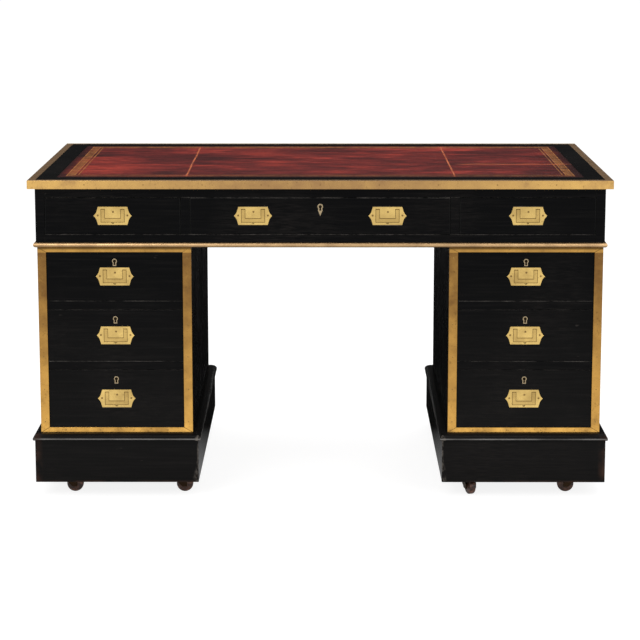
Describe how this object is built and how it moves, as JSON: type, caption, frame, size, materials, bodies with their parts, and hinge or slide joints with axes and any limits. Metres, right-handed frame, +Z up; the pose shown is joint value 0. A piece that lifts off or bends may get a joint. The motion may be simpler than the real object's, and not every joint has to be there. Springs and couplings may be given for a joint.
{
  "type": "pedestal desk",
  "caption": "Brass-bound black pedestal desk in campaign style with an inset leather writing surface, flush-handled drawers, a kneehole and castored plinths.",
  "frame": {"origin": "on the floor, under the middle of the desk", "axes": "+X to the right along the desk seen from the sitter's side, -Y towards the sitter, +Z up"},
  "size_m": [1.372, 0.762, 0.768],
  "materials": {
    "ebonised_wood": "ebonised, satin polish",
    "drawer_wood": "front ebonised and polished, box natural",
    "inner_wood": "natural",
    "brass": "polished, lightly aged",
    "leather": "oxblood, gilt tooled border",
    "castor_brass": "aged",
    "wheel_wood": "waxed"
  },
  "bodies": {
    "desk": {"top_board": "ebonised_wood", "writing_leather": "leather", "top_edge_brass": "brass", "frieze_carcass": "ebonised_wood", "frieze_runners": "inner_wood", "frieze_base_moulding": "brass", "pedestal_left_carcass": "ebonised_wood", "pedestal_left_runners": "inner_wood", "pedestal_left_brass_frame": "brass", "pedestal_left_plinth": "ebonised_wood", "pedestal_right_carcass": "ebonised_wood", "pedestal_right_runners": "inner_wood", "pedestal_right_brass_frame": "brass", "pedestal_right_plinth": "ebonised_wood", "castor_plates": "castor_brass", "castor_blocks": "inner_wood"},
    "drawer_frieze_left": {"drawer_frieze_left": "drawer_wood", "drawer_frieze_left_brasses": "brass"},
    "bail_frieze_left": {"bail_frieze_left": "brass"},
    "drawer_frieze_centre": {"drawer_frieze_centre": "drawer_wood", "drawer_frieze_centre_brasses": "brass"},
    "bail_frieze_centre_left": {"bail_frieze_centre_left": "brass"},
    "bail_frieze_centre_right": {"bail_frieze_centre_right": "brass"},
    "drawer_frieze_right": {"drawer_frieze_right": "drawer_wood", "drawer_frieze_right_brasses": "brass"},
    "bail_frieze_right": {"bail_frieze_right": "brass"},
    "drawer_left_upper": {"drawer_left_upper": "drawer_wood", "drawer_left_upper_brasses": "brass"},
    "bail_left_upper": {"bail_left_upper": "brass"},
    "drawer_left_middle": {"drawer_left_middle": "drawer_wood", "drawer_left_middle_brasses": "brass"},
    "bail_left_middle": {"bail_left_middle": "brass"},
    "drawer_left_lower": {"drawer_left_lower": "drawer_wood", "drawer_left_lower_brasses": "brass"},
    "bail_left_lower": {"bail_left_lower": "brass"},
    "drawer_right_upper": {"drawer_right_upper": "drawer_wood", "drawer_right_upper_brasses": "brass"},
    "bail_right_upper": {"bail_right_upper": "brass"},
    "drawer_right_middle": {"drawer_right_middle": "drawer_wood", "drawer_right_middle_brasses": "brass"},
    "bail_right_middle": {"bail_right_middle": "brass"},
    "drawer_right_lower": {"drawer_right_lower": "drawer_wood", "drawer_right_lower_brasses": "brass"},
    "bail_right_lower": {"bail_right_lower": "brass"},
    "castor_horn_left_front_outer": {"castor_horn_left_front_outer": "castor_brass"},
    "castor_wheel_left_front_outer": {"castor_wheel_left_front_outer": "wheel_wood"},
    "castor_horn_left_front_inner": {"castor_horn_left_front_inner": "castor_brass"},
    "castor_wheel_left_front_inner": {"castor_wheel_left_front_inner": "wheel_wood"},
    "castor_horn_left_back_outer": {"castor_horn_left_back_outer": "castor_brass"},
    "castor_wheel_left_back_outer": {"castor_wheel_left_back_outer": "wheel_wood"},
    "castor_horn_left_back_inner": {"castor_horn_left_back_inner": "castor_brass"},
    "castor_wheel_left_back_inner": {"castor_wheel_left_back_inner": "wheel_wood"},
    "castor_horn_right_front_outer": {"castor_horn_right_front_outer": "castor_brass"},
    "castor_wheel_right_front_outer": {"castor_wheel_right_front_outer": "wheel_wood"},
    "castor_horn_right_front_inner": {"castor_horn_right_front_inner": "castor_brass"},
    "castor_wheel_right_front_inner": {"castor_wheel_right_front_inner": "wheel_wood"},
    "castor_horn_right_back_outer": {"castor_horn_right_back_outer": "castor_brass"},
    "castor_wheel_right_back_outer": {"castor_wheel_right_back_outer": "wheel_wood"},
    "castor_horn_right_back_inner": {"castor_horn_right_back_inner": "castor_brass"},
    "castor_wheel_right_back_inner": {"castor_wheel_right_back_inner": "wheel_wood"}
  },
  "joints": [
    {"name": "drawer_frieze_left_slide", "type": "slide", "parent": "desk", "child": "drawer_frieze_left", "axis": [0, -1, 0], "range_m": [0, 0.45]},
    {"name": "bail_frieze_left_hinge", "type": "hinge", "parent": "drawer_frieze_left", "child": "bail_frieze_left", "pos_m": [-0.488, -0.3628, 0.6961], "axis": [-1, 0, 0], "range_deg": [0, 90]},
    {"name": "drawer_frieze_centre_slide", "type": "slide", "parent": "desk", "child": "drawer_frieze_centre", "axis": [0, -1, 0], "range_m": [0, 0.45]},
    {"name": "bail_frieze_centre_left_hinge", "type": "hinge", "parent": "drawer_frieze_centre", "child": "bail_frieze_centre_left", "pos_m": [-0.158, -0.3628, 0.6961], "axis": [-1, 0, 0], "range_deg": [0, 90]},
    {"name": "bail_frieze_centre_right_hinge", "type": "hinge", "parent": "drawer_frieze_centre", "child": "bail_frieze_centre_right", "pos_m": [0.158, -0.3628, 0.6961], "axis": [-1, 0, 0], "range_deg": [0, 90]},
    {"name": "drawer_frieze_right_slide", "type": "slide", "parent": "desk", "child": "drawer_frieze_right", "axis": [0, -1, 0], "range_m": [0, 0.45]},
    {"name": "bail_frieze_right_hinge", "type": "hinge", "parent": "drawer_frieze_right", "child": "bail_frieze_right", "pos_m": [0.488, -0.3628, 0.6961], "axis": [-1, 0, 0], "range_deg": [0, 90]},
    {"name": "drawer_left_upper_slide", "type": "slide", "parent": "desk", "child": "drawer_left_upper", "axis": [0, -1, 0], "range_m": [0, 0.45]},
    {"name": "bail_left_upper_hinge", "type": "hinge", "parent": "drawer_left_upper", "child": "bail_left_upper", "pos_m": [-0.486, -0.3573, 0.55035], "axis": [-1, 0, 0], "range_deg": [0, 90]},
    {"name": "drawer_left_middle_slide", "type": "slide", "parent": "desk", "child": "drawer_left_middle", "axis": [0, -1, 0], "range_m": [0, 0.45]},
    {"name": "bail_left_middle_hinge", "type": "hinge", "parent": "drawer_left_middle", "child": "bail_left_middle", "pos_m": [-0.486, -0.3573, 0.4081], "axis": [-1, 0, 0], "range_deg": [0, 90]},
    {"name": "drawer_left_lower_slide", "type": "slide", "parent": "desk", "child": "drawer_left_lower", "axis": [0, -1, 0], "range_m": [0, 0.45]},
    {"name": "bail_left_lower_hinge", "type": "hinge", "parent": "drawer_left_lower", "child": "bail_left_lower", "pos_m": [-0.486, -0.3573, 0.25435], "axis": [-1, 0, 0], "range_deg": [0, 90]},
    {"name": "drawer_right_upper_slide", "type": "slide", "parent": "desk", "child": "drawer_right_upper", "axis": [0, -1, 0], "range_m": [0, 0.45]},
    {"name": "bail_right_upper_hinge", "type": "hinge", "parent": "drawer_right_upper", "child": "bail_right_upper", "pos_m": [0.486, -0.3573, 0.55035], "axis": [-1, 0, 0], "range_deg": [0, 90]},
    {"name": "drawer_right_middle_slide", "type": "slide", "parent": "desk", "child": "drawer_right_middle", "axis": [0, -1, 0], "range_m": [0, 0.45]},
    {"name": "bail_right_middle_hinge", "type": "hinge", "parent": "drawer_right_middle", "child": "bail_right_middle", "pos_m": [0.486, -0.3573, 0.4081], "axis": [-1, 0, 0], "range_deg": [0, 90]},
    {"name": "drawer_right_lower_slide", "type": "slide", "parent": "desk", "child": "drawer_right_lower", "axis": [0, -1, 0], "range_m": [0, 0.45]},
    {"name": "bail_right_lower_hinge", "type": "hinge", "parent": "drawer_right_lower", "child": "bail_right_lower", "pos_m": [0.486, -0.3573, 0.25435], "axis": [-1, 0, 0], "range_deg": [0, 90]},
    {"name": "castor_horn_left_front_outer_swivel", "type": "hinge", "parent": "desk", "child": "castor_horn_left_front_outer", "pos_m": [-0.619, -0.314, 0.0544], "axis": [0, 0, 1], "continuous": true},
    {"name": "castor_wheel_left_front_outer_roll", "type": "hinge", "parent": "castor_horn_left_front_outer", "child": "castor_wheel_left_front_outer", "pos_m": [-0.594, -0.314, 0.02], "axis": [0, 1, 0], "continuous": true},
    {"name": "castor_horn_left_front_inner_swivel", "type": "hinge", "parent": "desk", "child": "castor_horn_left_front_inner", "pos_m": [-0.353, -0.314, 0.0544], "axis": [0, 0, 1], "continuous": true},
    {"name": "castor_wheel_left_front_inner_roll", "type": "hinge", "parent": "castor_horn_left_front_inner", "child": "castor_wheel_left_front_inner", "pos_m": [-0.328, -0.314, 0.02], "axis": [0, 1, 0], "continuous": true},
    {"name": "castor_horn_left_back_outer_swivel", "type": "hinge", "parent": "desk", "child": "castor_horn_left_back_outer", "pos_m": [-0.619, 0.314, 0.0544], "axis": [0, 0, 1], "continuous": true},
    {"name": "castor_wheel_left_back_outer_roll", "type": "hinge", "parent": "castor_horn_left_back_outer", "child": "castor_wheel_left_back_outer", "pos_m": [-0.59852, 0.32834, 0.02], "axis": [-0.5736, 0.8192, 0], "continuous": true},
    {"name": "castor_horn_left_back_inner_swivel", "type": "hinge", "parent": "desk", "child": "castor_horn_left_back_inner", "pos_m": [-0.353, 0.314, 0.0544], "axis": [0, 0, 1], "continuous": true},
    {"name": "castor_wheel_left_back_inner_roll", "type": "hinge", "parent": "castor_horn_left_back_inner", "child": "castor_wheel_left_back_inner", "pos_m": [-0.32951, 0.32255, 0.02], "axis": [-0.342, 0.9397, 0], "continuous": true},
    {"name": "castor_horn_right_front_outer_swivel", "type": "hinge", "parent": "desk", "child": "castor_horn_right_front_outer", "pos_m": [0.619, -0.314, 0.0544], "axis": [0, 0, 1], "continuous": true},
    {"name": "castor_wheel_right_front_outer_roll", "type": "hinge", "parent": "castor_horn_right_front_outer", "child": "castor_wheel_right_front_outer", "pos_m": [0.594, -0.314, 0.02], "axis": [0, -1, 0], "continuous": true},
    {"name": "castor_horn_right_front_inner_swivel", "type": "hinge", "parent": "desk", "child": "castor_horn_right_front_inner", "pos_m": [0.353, -0.314, 0.0544], "axis": [0, 0, 1], "continuous": true},
    {"name": "castor_wheel_right_front_inner_roll", "type": "hinge", "parent": "castor_horn_right_front_inner", "child": "castor_wheel_right_front_inner", "pos_m": [0.36155, -0.33749, 0.02], "axis": [0.9397, 0.342, 0], "continuous": true},
    {"name": "castor_horn_right_back_outer_swivel", "type": "hinge", "parent": "desk", "child": "castor_horn_right_back_outer", "pos_m": [0.619, 0.314, 0.0544], "axis": [0, 0, 1], "continuous": true},
    {"name": "castor_wheel_right_back_outer_roll", "type": "hinge", "parent": "castor_horn_right_back_outer", "child": "castor_wheel_right_back_outer", "pos_m": [0.59551, 0.30545, 0.02], "axis": [0.342, -0.9397, 0], "continuous": true},
    {"name": "castor_horn_right_back_inner_swivel", "type": "hinge", "parent": "desk", "child": "castor_horn_right_back_inner", "pos_m": [0.353, 0.314, 0.0544], "axis": [0, 0, 1], "continuous": true},
    {"name": "castor_wheel_right_back_inner_roll", "type": "hinge", "parent": "castor_horn_right_back_inner", "child": "castor_wheel_right_back_inner", "pos_m": [0.32951, 0.32255, 0.02], "axis": [-0.342, -0.9397, 0], "continuous": true}
  ]
}
